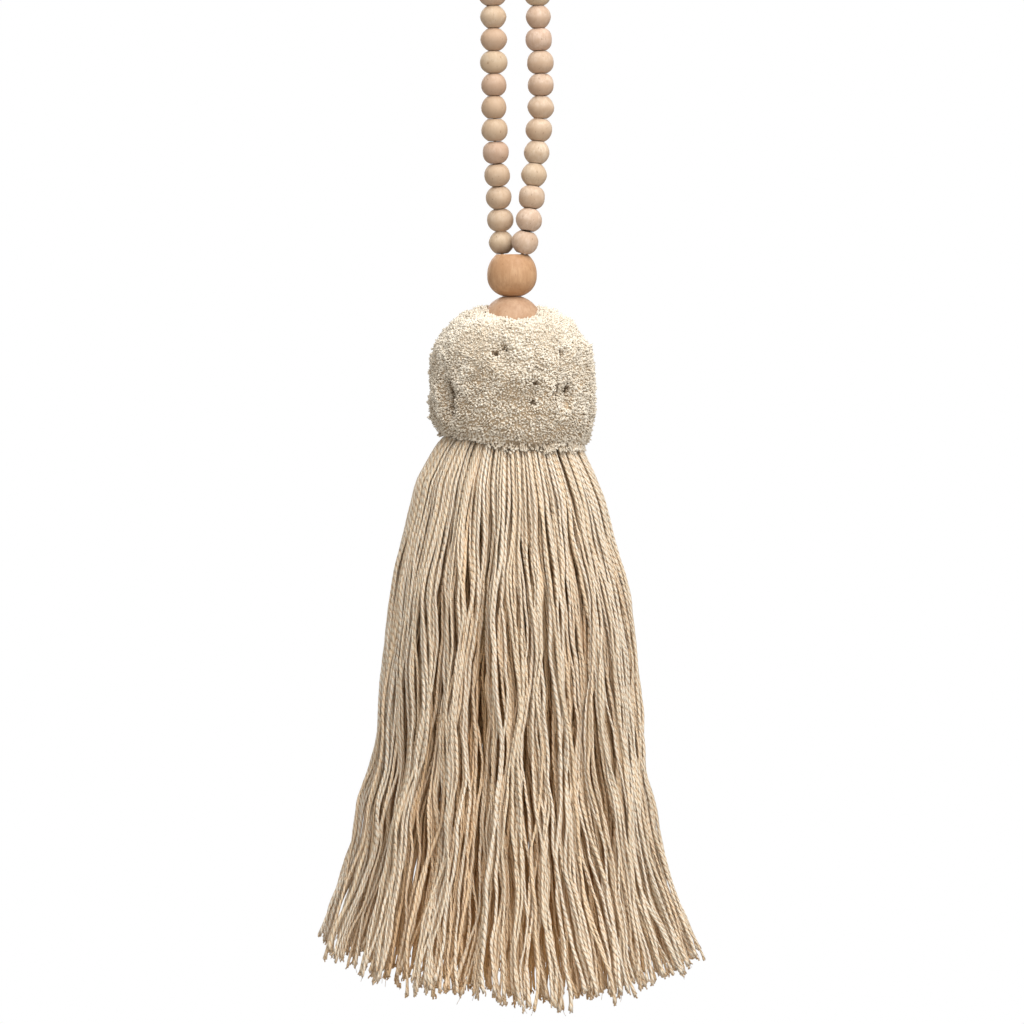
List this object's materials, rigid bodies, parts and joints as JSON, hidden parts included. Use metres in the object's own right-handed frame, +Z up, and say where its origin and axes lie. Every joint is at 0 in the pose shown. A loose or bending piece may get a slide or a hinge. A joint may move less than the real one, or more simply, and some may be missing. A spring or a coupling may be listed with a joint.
{
  "type": "pompom tassel",
  "caption": "Cotton tassel with a long skirt of twisted yarn under a cut-pile pompom, on a hanging loop of small wooden beads.",
  "frame": {"origin": "the point inside the top of the bead loop where a hook bears", "axes": "+Z up along the tassel as it hangs, +X to the right of someone facing it, front faces -Y"},
  "size_m": [0.1175, 0.1106, 0.3707],
  "materials": {
    "yarn": "matt twisted cotton yarn",
    "pile": "matt cut cotton pile",
    "small_bead": "turned pale wood, unvarnished",
    "large_bead": "turned honey-coloured wood, satin",
    "cord": "matt cord"
  },
  "bodies": {
    "root": {"skirt": "yarn", "pompom": "pile", "large_bead_lower": "large_bead", "large_bead_upper": "large_bead", "loop_cord": "cord", "bead_left_01": "small_bead", "bead_left_02": "small_bead", "bead_left_03": "small_bead", "bead_left_04": "small_bead", "bead_left_05": "small_bead", "bead_left_06": "small_bead", "bead_left_07": "small_bead", "bead_left_08": "small_bead", "bead_left_09": "small_bead", "bead_left_10": "small_bead", "bead_left_11": "small_bead", "bead_left_12": "small_bead", "bead_left_13": "small_bead", "bead_left_14": "small_bead", "bead_left_15": "small_bead", "bead_left_16": "small_bead", "bead_left_17": "small_bead", "bead_left_18": "small_bead", "bead_left_19": "small_bead", "bead_left_20": "small_bead", "bead_right_01": "small_bead", "bead_right_02": "small_bead", "bead_right_03": "small_bead", "bead_right_04": "small_bead", "bead_right_05": "small_bead", "bead_right_06": "small_bead", "bead_right_07": "small_bead", "bead_right_08": "small_bead", "bead_right_09": "small_bead", "bead_right_10": "small_bead", "bead_right_11": "small_bead", "bead_right_12": "small_bead", "bead_right_13": "small_bead", "bead_right_14": "small_bead", "bead_right_15": "small_bead", "bead_right_16": "small_bead", "bead_right_17": "small_bead", "bead_right_18": "small_bead", "bead_right_19": "small_bead", "bead_right_20": "small_bead", "bead_top_1": "small_bead", "bead_top_2": "small_bead", "bead_top_3": "small_bead"}
  },
  "joints": []
}
